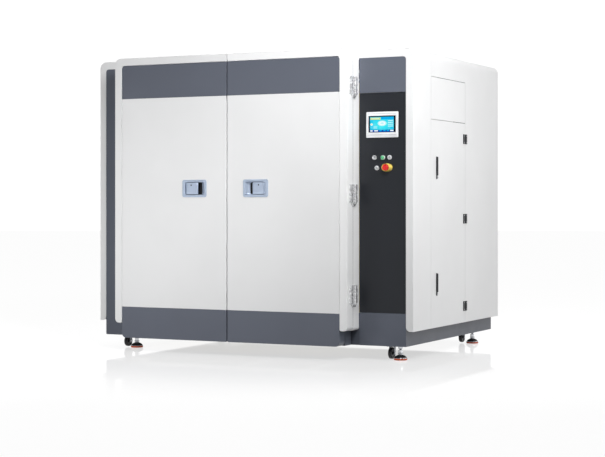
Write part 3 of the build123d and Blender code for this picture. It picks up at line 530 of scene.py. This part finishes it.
def foot(name, x, y):
    bm = bmesh.new()
    at = P(x, y, 0)
    # rubber pad with a moulded lip and a groove
    pad = [(0, 0.0), (38.0, 0.0), (40.5, 0.6), (42.3, 2.0), (43.0, 3.6), (43.0, 5.0), (42.4, 5.5), (43.0, 6.0), (43.0, 9.3), (42.6, 10.2), (41.4, 10.8), (38.0, 10.9), (0, 10.9)]
    lathe(bm, pad, at, mat=0, segs=96)
    # pressed bright rim
    rim = [(0, 10.9), (41.0, 10.9), (42.4, 11.6), (42.9, 12.9), (42.5, 14.4), (41.3, 15.2), (39.6, 15.4), (0, 15.4)]
    lathe(bm, rim, at, mat=1, segs=96)
    # black dome
    dome = [(0, 15.4), (39.6, 15.4), (39.9, 16.2), (39.3, 18.0), (36.8, 21.4), (32.4, 25.4), (27.0, 29.0), (21.5, 31.7), (17.4, 33.2), (16.2, 34.0), (15.8, 35.2), (14.6, 35.8), (0, 35.8)]
    lathe(bm, dome, at, mat=2, segs=96)
    # swivel ball, collar and hexagon
    lathe(bm, [(0, 33.0), (12.8, 33.0), (13.6, 36.0), (13.2, 39.0), (11.6, 41.6), (0, 42.6)], at, mat=1, segs=64)
    lathe(bm, [(0, 41.5), (17.6, 41.5), (18.8, 42.4), (18.8, 45.2), (17.6, 46.4), (12.0, 47.4), (0, 47.4)], at, mat=1, segs=64)
    prism(bm, hexagon(23.6, 0.2), 47.0, 66.0, at, mat=1, chamfer=1.2)
    # threaded stud
    stud = [(0, 64.0), (7.2, 64.0)]
    z = 65.0
    while z < 148.0:
        stud += [(7.25, z), (8.0, z + 0.75), (8.0, z + 1.05), (7.25, z + 1.8)]
        z += 2.0
    stud += [(6.6, 150.0), (0, 150.0)]
    lathe(bm, stud, at, mat=3, segs=40)
    # lock nut below the frame, with its washer
    prism(bm, hexagon(26.0, 0.5), 74.0, 87.6, at, mat=1, chamfer=1.3)
    lathe(bm, [(0, 87.6), (15.0, 87.6), (15.4, 88.0), (15.4, 90.2), (15.0, 90.6), (0, 90.6)], at, mat=1, segs=48)
    return put(bm, "foot_" + name + "_detail", "foot_" + name, [M["pad"], M["chrome"], M["dome"], M["stud"]], ["levelling_foot_" + name])


for key, (x, y) in FEET.items():
    foot(key, x, y)


# ------------------------------------------------------------------ door latches
LATCHES = {"left": (-315.5, -1), "right": (146.5, 1)}
LZ, FRONT = 1108.0, -181.0


def loft(bm, rings, mats, cx, side, caps=(0, 0)):
    """Joins outlines of (x, z) points at depths y; x is measured toward the pivot side."""
    rows = [[bm.verts.new(P(cx + side * px, y, LZ + pz)) for px, pz in pts] for pts, y in rings]
    for a, b, mat in zip(rows, rows[1:], mats):
        for i in range(len(a)):
            j = (i + 1) % len(a)
            bm.faces.new((a[i], a[j], b[j], b[i])).material_index = mat
    bm.faces.new(rows[0]).material_index = caps[0]
    bm.faces.new(list(reversed(rows[-1]))).material_index = caps[1]


def latch_dish(name, cx, side):
    bm = bmesh.new()
    rings = [
        (rrect(-77, 77, -44, 44, 5), FRONT + 28), (rrect(-77, 77, -44, 44, 5), FRONT - 0.1), (rrect(-92.5, 92.5, -58, 58, 13), FRONT - 0.1),
        (rrect(-92.5, 92.5, -58, 58, 13), FRONT - 1.6), (rrect(-91.8, 91.8, -57.3, 57.3, 12.4), FRONT - 3.2), (rrect(-90.0, 90.0, -55.5, 55.5, 11), FRONT - 4.0),
        (rrect(-77.5, 74.5, -45.0, 45.0, 15, 6), FRONT - 4.0), (rrect(-75.5, 72.5, -43.4, 43.4, 14), FRONT - 3.2), (rrect(-74.0, 72.0, -42.2, 42.2, 13), FRONT - 1.0),
        (rrect(-70.0, 71.6, -41.0, 41.0, 12), FRONT + 7.0), (rrect(-61.0, 71.4, -40.0, 40.0, 11), FRONT + 15.0), (rrect(-49.0, 71.0, -39.4, 39.4, 9), FRONT + 20.0),
        (rrect(-46.5, 70.8, -39.0, 39.0, 8), FRONT + 25.6),
    ]
    # the deepest band and the back of the finger pocket take the black material: painted shade standing in for the dark
    # depth of the pocket
    loft(bm, rings, [0, 0, 0, 0, 0, 0, 0, 0, 0, 0, 0, 1], cx, side, (0, 1))
    return put(bm, name + "_latch_dish_detail", name + "_door", [M["latch"], M["void"]], [name + "_latch_dish"], 24.0)


def latch_paddle(name, cx, side):
    bm = bmesh.new()
    # pressed plate with a rolled finger lip, seen from above as (x, y)
    line = [(60.5, -2.4), (59.6, -3.1), (57.5, -3.4), (-8.0, -3.4), (-14.0, -3.0), (-19.0, -1.6), (-22.6, 1.0), (-24.4, 4.6), (-24.6, 9.0),
            (-22.8, 9.4), (-22.2, 5.6), (-20.4, 2.8), (-17.4, 1.0), (-13.0, 0.0), (-8.0, -0.4), (59.0, -0.4), (60.6, -1.0)]
    levels = [(-39.0, 0.985), (-38.2, 1.0), (38.2, 1.0), (39.0, 0.985)]
    rows = [[bm.verts.new(P(cx + side * (18 + (px - 18) * k), FRONT + py, LZ + h)) for px, py in line] for h, k in levels]
    for a, b in zip(rows, rows[1:]):
        for i in range(len(line)):
            j = (i + 1) % len(line)
            bm.faces.new((a[i], a[j], b[j], b[i]))
    bm.faces.new(list(reversed(rows[0])))
    bm.faces.new(rows[-1])
    # pivot lug and pin
    lug = [(68.4, 5.0), (67.4, 10.2), (64.0, 12.4), (60.6, 10.6), (57.0, -0.6), (61.0, -0.9)]
    rows = [[bm.verts.new(P(cx + side * px, FRONT + py, LZ + h)) for px, py in lug] for h in (-37.0, 37.0)]
    for i in range(len(lug)):
        j = (i + 1) % len(lug)
        bm.faces.new((rows[0][i], rows[0][j], rows[1][j], rows[1][i]))
    bm.faces.new(list(reversed(rows[0])))
    bm.faces.new(rows[1])
    lathe(bm, [(0, -41.8), (3.0, -41.8), (3.0, 41.8), (0, 41.8)], P(cx + side * 64, FRONT + 8, LZ), "z", 24)
    # lock: collar and a dark core disc; the core's black is painted shade standing in for the shaded keyway
    c = P(cx + side * 24, FRONT, LZ + 22)
    lathe(bm, [(0, -0.5), (7.6, -0.5), (7.6, -3.6), (7.0, -4.0), (5.4, -4.0), (5.2, -3.2), (0, -3.2)], c, "y", 40)
    lathe(bm, [(0, -2.0), (5.1, -2.0), (5.1, -3.5), (4.7, -3.8), (0, -3.8)], c, "y", 32, 1)
    return put(bm, name + "_latch_paddle_detail", name + "_latch", [M["latch"], M["void"]], [name + "_latch_paddle"], 28.0)


for key, (cx, side) in LATCHES.items():
    latch_dish(key, cx, side)
    latch_paddle(key, cx, side)


# ------------------------------------------------------------------ casters
CASTERS = {"front_right": (1008.0, 72.0), "front_left": (-1010.0, 90.0), "rear_right": (986.0, 1420.0), "rear_left": (-1010.0, 1420.0)}


def wheel(name, x, y):
    bm = bmesh.new()
    at = P(x, y, 42.5)
    tread = [(24.0, -10.0), (26.0, -12.2), (31.0, -13.2), (34.2, -12.6), (36.2, -10.6), (37.2, -7.4), (37.5, -3.2), (37.5, 3.2), (37.2, 7.4), (36.2, 10.6), (34.2, 12.6), (31.0, 13.2), (26.0, 12.2), (24.0, 10.0)]
    lathe(bm, tread, at, "x", 96, 0, close=True)
    hub = [(5.1, -14.0), (9.0, -14.0), (9.6, -13.2), (9.6, -10.4), (12.0, -9.4), (19.0, -8.6), (22.4, -9.6), (24.4, -11.2), (25.0, -11.0), (25.0, 11.0), (24.4, 11.2), (22.4, 9.6), (19.0, 8.6), (12.0, 9.4), (9.6, 10.4), (9.6, 13.2), (9.0, 14.0), (5.1, 14.0)]
    lathe(bm, hub, at, "x", 64, 1, close=True)
    for side in (-1, 1):
        for k in range(6):
            a = math.radians(60 * k + 15)
            c = at + Vector((0, 15.6 * MM * math.cos(a), 15.6 * MM * math.sin(a)))
            lathe(bm, [(0, side * 8.6), (2.6, side * 8.6), (2.8, side * 9.0), (2.4, side * 9.6), (0, side * 9.8)], c, "x", 14, 1)
    return put(bm, "wheel_" + name + "_detail", "wheel_" + name, [M["tyre"], M["hub"]], ["caster_wheel_" + name])


for key, (x, y) in CASTERS.items():
    wheel(key, x, y)


def forks():
    bm = bmesh.new()
    for x, y in CASTERS.values():
        at = P(x, y, 0)
        prism(bm, rrect(-32, 32, -26, 26, 5), 87.4, 91.0, at, mat=0, chamfer=0.8)
        lathe(bm, [(0, 83.0), (21.0, 83.0), (23.0, 84.2), (23.4, 86.2), (22.6, 87.4), (0, 87.4)], at, mat=0, segs=48)
        for px in (-24.0, 24.0):
            for py in (-18.0, 18.0):
                c = P(x + px, y + py, 0)
                prism(bm, hexagon(8.0, 0.3), 84.0, 87.4, c, mat=0, chamfer=0.6)
        for s in (1, -1):
            a, b = sorted((s * 15.6, s * 18.6))
            side = [(2.0, 86.5), (-2.0, 76.0), (-9.0, 58.0), *arc(0, 42.5, 13.0, 150, 360, 18), (15.5, 52.0), (21.0, 68.0), (25.0, 86.5)]
            prism(bm, side, a, b, at, "x", mat=0, chamfer=0.5)
            # axle bolt head on one side, nut on the other
            c = P(x, y, 42.5)
            e0, e1 = sorted((s * 18.6, s * 23.4))
            prism(bm, hexagon(13.0, 0.4 * s), e0, e1, c, "x", mat=1, chamfer=0.8)
            lathe(bm, [(0, s * 18.4), (8.0, s * 18.4), (8.0, s * 19.4), (0, s * 19.4)], c, "x", 32, 1)
        lathe(bm, [(0, -19.0), (5.0, -19.0), (5.0, 19.0), (0, 19.0)], P(x, y, 42.5), "x", 32, 1)
    return put(bm, "caster_forks", "cabinet", [M["fork"], M["chrome"]], ["caster_brackets"])


forks()


# ------------------------------------------------------------------ operator screen page
def on_page(px, pz, y):
    """Page layout to the lit area inside the bezel window."""
    return 972.0 + (px - 973.0) * 0.965, y, 1515.75 + (pz - 1515.5) * 0.902


def plate(bm, x0, x1, z0, z1, y, mat, r=0.8, depth=0.12):
    """A thin raised field on the page."""
    pts = rrect(x0, x1, z0, z1, min(r, (x1 - x0) / 2.1, (z1 - z0) / 2.1), 4)
    back = [bm.verts.new(P(*on_page(px, pz, y))) for px, pz in pts]
    front = [bm.verts.new(P(*on_page(px, pz, y - depth))) for px, pz in pts]
    n = len(pts)
    for i in range(n):
        j = (i + 1) % n
        bm.faces.new((back[i], back[j], front[j], front[i])).material_index = mat
    bm.faces.new(front).material_index = mat
    bm.faces.new(list(reversed(back))).material_index = mat


def page():
    bm = bmesh.new()
    y0 = -7.5
    px, pz = 973.0, 1516.0
    L, R, T, B = px - 86.0, px + 86.0, pz + 53.0, pz - 54.0
    plate(bm, L, R, B, T, y0, 0, 0.4, 0.10)
    y = y0 - 0.10
    plate(bm, L + 82, R - 1.5, T - 17, T - 2, y, 2)                        # header
    plate(bm, L + 4, L + 76, T - 19, T - 5, y, 3)                          # yellow field
    plate(bm, L + 12, L + 68, T - 14, T - 10, y - 0.1, 5, 0.6, 0.08)
    plate(bm, L, R, B, B + 15, y, 1, 0.4)                                  # lower bar
    for a, b in ((2.0, 19.0), (31.0, 57.0), (146.0, 170.0)):
        plate(bm, L + a, L + b, B + 4.0, B + 12.5, y - 0.1, 4, 1.0, 0.08)
    for a, b in ((68.0, 86.0), (96.0, 114.0), (122.0, 138.0)):
        plate(bm, L + a, L + b, B + 4.6, B + 11.4, y - 0.1, 2, 1.0, 0.08)
    # gauge in the middle: pale disc with a ring and a pale centre
    c = (px + 2.0, pz + 7.0)
    for rad, mat, dy in ((24.0, 5, 0.0), (17.0, 4, 0.1), (9.0, 5, 0.2)):
        pts = [(c[0] + 1.35 * rad * math.cos(t * math.pi / 24), c[1] + 0.82 * rad * math.sin(t * math.pi / 24)) for t in range(48)]
        back = [bm.verts.new(P(*on_page(a, b, y - dy))) for a, b in pts]
        front = [bm.verts.new(P(*on_page(a, b, y - dy - 0.1))) for a, b in pts]
        for i in range(48):
            j = (i + 1) % 48
            bm.faces.new((back[i], back[j], front[j], front[i])).material_index = mat
        bm.faces.new(front).material_index = mat
        bm.faces.new(list(reversed(back))).material_index = mat
    plate(bm, L + 3, L + 20, pz - 8, pz + 8, y, 4, 7.5)                     # round key at the left
    plate(bm, L + 7, L + 16, pz - 3, pz + 3, y - 0.1, 3, 2.5, 0.08)
    for k in range(4):
        plate(bm, R - 42, R - 6, pz + 22 - 13 * k, pz + 28 - 13 * k, y, 5, 1.2)
    for k in range(3):
        plate(bm, L + 26, L + 52, pz - 30 + 7 * k, pz - 27 + 7 * k, y, 5, 0.8)
    return put(bm, "screen_page", "cabinet", [M["page"], M["page_blue"], M["page_sky"], M["page_yellow"], M["page_white"], M["page_pale"]])


page()


# ------------------------------------------------------------------ screen bezel and switches
def ring_loft(bm, rings, at, mats, closed=True):
    """Joins outlines of (x, z) points at depths y into one closed band round a window."""
    rows = [[bm.verts.new(P(at[0] + px, y, at[1] + pz)) for px, pz in pts] for pts, y in rings]
    pairs = list(zip(rows, rows[1:])) + ([(rows[-1], rows[0])] if closed else [])
    for (a, b), mat in zip(pairs, mats):
        for i in range(len(a)):
            j = (i + 1) % len(a)
            bm.faces.new((a[i], a[j], b[j], b[i])).material_index = mat


def screen_bezel():
    bm = bmesh.new()
    win = (-95.0, 95.0, -50.0, 57.0)
    rings = [
        (rrect(-104, 104, -70, 70, 3), 0.0), (rrect(-111, 111, -83, 83, 6), 0.0), (rrect(-111, 111, -83, 83, 6), -6.8),
        (rrect(-110.3, 110.3, -82.3, 82.3, 5.4), -8.2), (rrect(-108.9, 108.9, -80.9, 80.9, 4.2), -9.0),
        (rrect(win[0] - 1.6, win[1] + 1.6, win[2] - 1.6, win[3] + 1.6, 2.4), -9.0), (rrect(*win, 1.6), -7.6), (rrect(-104, 104, -70, 70, 3), -7.58),
    ]
    ring_loft(bm, rings, (973.0, 1514.0), [0] * 8)
    prism(bm, rrect(-72.9, 72.9, -105.9, 105.9, 2), 0.2, 42.0, P(973, 0, 1514), "y", 0)
    # darker strips above and below the window: painted shade standing in for the moulded grooves there
    for z in (71.0, -65.5):
        prism(bm, rrect(z - 0.8, z + 0.8, -100, 100, 0.7, 3), -9.25, -8.8, P(973, 0, 1514), "y", 1)
    return put(bm, "screen_bezel_detail", "cabinet", [M["bezel"], M["button"]], ["touchscreen_bezel"])


def oval(a, b, n=56):
    return [(a * math.cos(2 * math.pi * k / n), b * math.sin(2 * math.pi * k / n)) for k in range(n)]


def estop_collar():
    bm = bmesh.new()
    rings = [
        (oval(13.2, 13.2), 0.0), (oval(35.0, 27.0), 0.0), (oval(35.0, 27.0), -3.6), (oval(34.4, 26.5), -5.0), (oval(32.6, 26.2), -13.0),
        (oval(30.4, 25.6), -24.0), (oval(28.6, 24.8), -34.0), (oval(27.9, 24.2), -35.6), (oval(26.6, 23.3), -36.0), (oval(25.2, 22.6), -35.2),
        (oval(24.2, 22.3), -32.0), (oval(23.6, 22.2), -8.0), (oval(13.2, 13.2), -8.0),
    ]
    ring_loft(bm, rings, (1008.0, 1238.0), [0] * 13)
    return put(bm, "estop_collar_detail", "cabinet", [M["yellow"]], ["estop_guard"])


def button_cap(name, x, z):
    bm = bmesh.new()
    c = P(x, 0, z)
    lathe(bm, [(0, 32.0), (5.0, 32.0), (5.0, -5.5), (10.6, -5.5), (11.0, -6.0), (11.0, -9.6), (10.4, -10.4), (9.4, -10.5), (8.6, -10.1), (7.8, -9.0)], c, "y", 64, 0)
    lathe(bm, [(7.8, -9.0), (6.0, -8.8), (2.2, -8.9), (1.8, -9.3), (0, -9.4)], c, "y", 64, 1)
    return put(bm, name + "_detail", name + "_cap", [M["silver"], M["button"]], [name])


screen_bezel()
estop_collar()
for key, (x, z) in {"button_left": (918.0, 1303.0), "button_right": (1024.0, 1303.0), "button_lower": (935.0, 1236.0)}.items():
    button_cap(key, x, z)

# pale pointer on the selector lever
bm = bmesh.new()
prism(bm, rrect(-15.0, -8.4, -3.0, 3.0, 2.6, 5), -21.0, -20.6, P(977.0, 0, 1303.0), "y", 0)
put(bm, "selector_pointer", "selector", [M["silver"]])

# dark rubber edge strips beside the control column, a real joint strip whose black also stands in for the shade in the
# gap there (partly painted shade), and the lock faces of the swing handles
bm = bmesh.new()
for x0, x1 in ((811.2, 815.0), (1131.2, 1135.0)):
    prism(bm, rrect(304.5, 1719.5, x0, x1, 1.2, 3), -0.5, 0.0, P(0, 0, 0), "y", 0)
put(bm, "panel_edge_strips", "cabinet", [M["seal"]])
bm = bmesh.new()
for z in (1243.0, 473.0):
    c = P(1186.0, 408.0, z - 64.0)
    lathe(bm, [(0, 7.9), (7.4, 7.9), (7.4, 8.4), (6.6, 9.0), (0, 9.0)], c, "x", 40, 0)
    # black key slot on each lock face: painted shade standing in for the shaded keyway
    prism(bm, rrect(-0.8, 0.8, -3.0, 3.0, 0.7, 3), 8.9, 9.2, c, "x", 1)
for z in (1451.0, 903.0, 301.0):
    for dz in (-23.0, 23.0):
        lathe(bm, [(0, 4.9), (3.6, 4.9), (3.4, 5.4), (0, 5.5)], P(1186.0, 921.5, z + dz), "x", 24, 0)
put(bm, "handle_lock_faces", "side_access_door", [M["silver"], M["void"]])
bm = bmesh.new()
for z in (1451.0, 903.0, 301.0):
    for dz in (-23.0, 23.0):
        lathe(bm, [(0, 4.9), (3.6, 4.9), (3.4, 5.4), (0, 5.5)], P(1186.0, 966.0, z + dz), "x", 24, 0)
put(bm, "side_hinge_screws", "cabinet", [M["silver"]])
# dark strips in the joint between the leaves and the door frame: painted shade standing in for the shade in that gap
bm = bmesh.new()
for x0, x1 in ((798.5, 806.9), (-944.9, -936.5)):
    prism(bm, rrect(215.0, 1948.0, x0, x1, 2.0, 3), -93.7, -90.9, P(0, 0, 0), "y", 0)
prism(bm, rrect(1992.0, 1999.9, -880.0, 742.0, 2.0, 3), -93.7, -90.9, P(0, 0, 0), "y", 0)
put(bm, "leaf_gap_shade_strips", "cabinet", [M["void"]])

# ------------------------------------------------------------------ floor and lights
def stage_mesh(name, verts, faces, mat):
    me = bpy.data.meshes.new(name)
    me.from_pydata(verts, [], faces)
    o = bpy.data.objects.new(name, me)
    scene.collection.objects.link(o)
    me.materials.append(mat)
    return o


def floor_material():
    """Pale floor with a faint sheen close to the object."""
    mat = bpy.data.materials.new("studio_floor")
    mat.use_nodes = True
    nt = mat.node_tree
    nt.nodes.clear()
    out = nt.nodes.new("ShaderNodeOutputMaterial")
    dif = nt.nodes.new("ShaderNodeBsdfDiffuse")
    dif.inputs["Color"].default_value = (FLOOR_A, FLOOR_A, FLOOR_A, 1)
    emi = nt.nodes.new("ShaderNodeEmission")
    emi.inputs["Color"].default_value = (1, 1, 1, 1)
    emi.inputs["Strength"].default_value = FLOOR_E
    add = nt.nodes.new("ShaderNodeAddShader")
    glo = nt.nodes.new("ShaderNodeBsdfGlossy")
    glo.inputs["Color"].default_value = (1, 1, 1, 1)
    glo.inputs["Roughness"].default_value = 0.03
    mix = nt.nodes.new("ShaderNodeMixShader")
    co = nt.nodes.new("ShaderNodeTexCoord")
    far = nt.nodes.new("ShaderNodeVectorMath")
    far.operation = "LENGTH"
    near = nt.nodes.new("ShaderNodeMapRange")
    near.interpolation_type = "SMOOTHSTEP"
    near.inputs["From Min"].default_value = 1.5
    near.inputs["From Max"].default_value = 3.3
    near.inputs["To Min"].default_value = 0.28
    near.inputs["To Max"].default_value = 0.0
    nt.links.new(co.outputs["Object"], far.inputs[0])
    nt.links.new(far.outputs["Value"], near.inputs["Value"])
    nt.links.new(near.outputs[0], mix.inputs[0])
    nt.links.new(dif.outputs[0], add.inputs[0])
    nt.links.new(emi.outputs[0], add.inputs[1])
    nt.links.new(add.outputs[0], mix.inputs[1])
    nt.links.new(glo.outputs[0], mix.inputs[2])
    nt.links.new(mix.outputs[0], out.inputs[0])
    return mat


FLOOR_A, FLOOR_E = 0.30, 0.84
F = 50.0
floor = stage_mesh("floor", [(-F, -F, 0), (F, -F, 0), (F, F, 0), (-F, F, 0)], [(0, 1, 2, 3)], floor_material())
floor.visible_diffuse = False

# white backdrop all round, seen by the camera only
back_mat = bpy.data.materials.new("studio_backdrop")
back_mat.use_nodes = True
bn = back_mat.node_tree
bn.nodes.clear()
bo = bn.nodes.new("ShaderNodeOutputMaterial")
be = bn.nodes.new("ShaderNodeEmission")
be.inputs["Color"].default_value = (1, 1, 1, 1)
be.inputs["Strength"].default_value = 1.05
bn.links.new(be.outputs[0], bo.inputs[0])
N = 48
ring = [(F * 0.98 * math.cos(2 * math.pi * k / N), F * 0.98 * math.sin(2 * math.pi * k / N)) for k in range(N)]
bv = [(x, y, -1.0) for x, y in ring] + [(x, y, F) for x, y in ring]
walls = [(k, (k + 1) % N, N + (k + 1) % N, N + k) for k in range(N)]
behind = stage_mesh("backdrop_rear", bv[:N // 2 + 1] + bv[N:N + N // 2 + 1], [(k, k + 1, N // 2 + 2 + k, N // 2 + 1 + k) for k in range(N // 2)], back_mat)
backdrop = stage_mesh("backdrop", bv, walls[N // 2:] + [tuple(range(N, 2 * N))], back_mat)
for card in (behind, backdrop):
    for flag in ("visible_diffuse", "visible_glossy", "visible_transmission", "visible_volume_scatter", "visible_shadow"):
        setattr(card, flag, False)
behind.visible_glossy = True

world = bpy.data.worlds.new("studio")
scene.world = world
world.use_nodes = True
wn = world.node_tree
bg = wn.nodes["Background"]
bg.inputs["Color"].default_value = (1.0, 1.0, 1.0, 1)
way = wn.nodes.new("ShaderNodeTexCoord")
split = wn.nodes.new("ShaderNodeSeparateXYZ")
wn.links.new(way.outputs["Generated"], split.inputs[0])


def wspan(value, a, b, c, d):
    n = wn.nodes.new("ShaderNodeMapRange")
    n.interpolation_type = "SMOOTHSTEP"
    n.inputs["From Min"].default_value = a
    n.inputs["From Max"].default_value = b
    n.inputs["To Min"].default_value = c
    n.inputs["To Max"].default_value = d
    wn.links.new(value, n.inputs["Value"])
    return n.outputs[0]


def wmath(op, a, b):
    n = wn.nodes.new("ShaderNodeMath")
    n.operation = op
    for i, v in enumerate((a, b)):
        if isinstance(v, (int, float)):
            n.inputs[i].default_value = v
        else:
            wn.links.new(v, n.inputs[i])
    return n.outputs[0]


W_LOW, W_HIGH, W_SIDE = 0.05, 0.18, 0.61
# soft room light: bright from the sides and behind, softer from the front, least from below the front
front = wspan(split.outputs[1], 0.15, -0.65, 0.0, 1.0)
front_level = wspan(split.outputs[2], -0.30, 0.55, W_LOW, W_HIGH)
rest = wmath("MULTIPLY", wmath("SUBTRACT", 1.0, front), W_SIDE)
wn.links.new(wmath("ADD", wmath("MULTIPLY", front, front_level), rest), bg.inputs["Strength"])


def area(name, at, to, size, power, size_y=None, spread=180.0):
    data = bpy.data.lights.new(name, "AREA")
    data.shape = "RECTANGLE"
    data.size = size
    data.size_y = size_y or size
    data.energy = power
    data.spread = math.radians(spread)
    o = bpy.data.objects.new(name, data)
    scene.collection.objects.link(o)
    o.location = at
    o.rotation_euler = (Vector(to) - Vector(at)).to_track_quat("-Z", "Y").to_euler()
    o.visible_camera = False
    return o


area("key", (2.6, -3.4, 3.6), (0.5, -0.9, 1.9), 1.2, 34.0, None, 80.0)
area("key_side", (4.2, -1.2, 2.9), (1.2, -0.4, 1.9), 1.2, 18.5, None, 120.0)
area("side", (4.6, 1.7, 1.3), (1.2, 0.5, 1.1), 2.0, 7.0, None, 120.0)
fill = area("fill", (-2.4, -4.6, 0.9), (-0.9, -0.9, 0.7), 1.4, 18.5, None, 90.0)
low = area("fill_low", (-0.9, -4.6, 0.45), (-0.25, -0.9, 0.6), 1.0, 2.4, None, 60.0)
fill.visible_glossy = low.visible_glossy = False
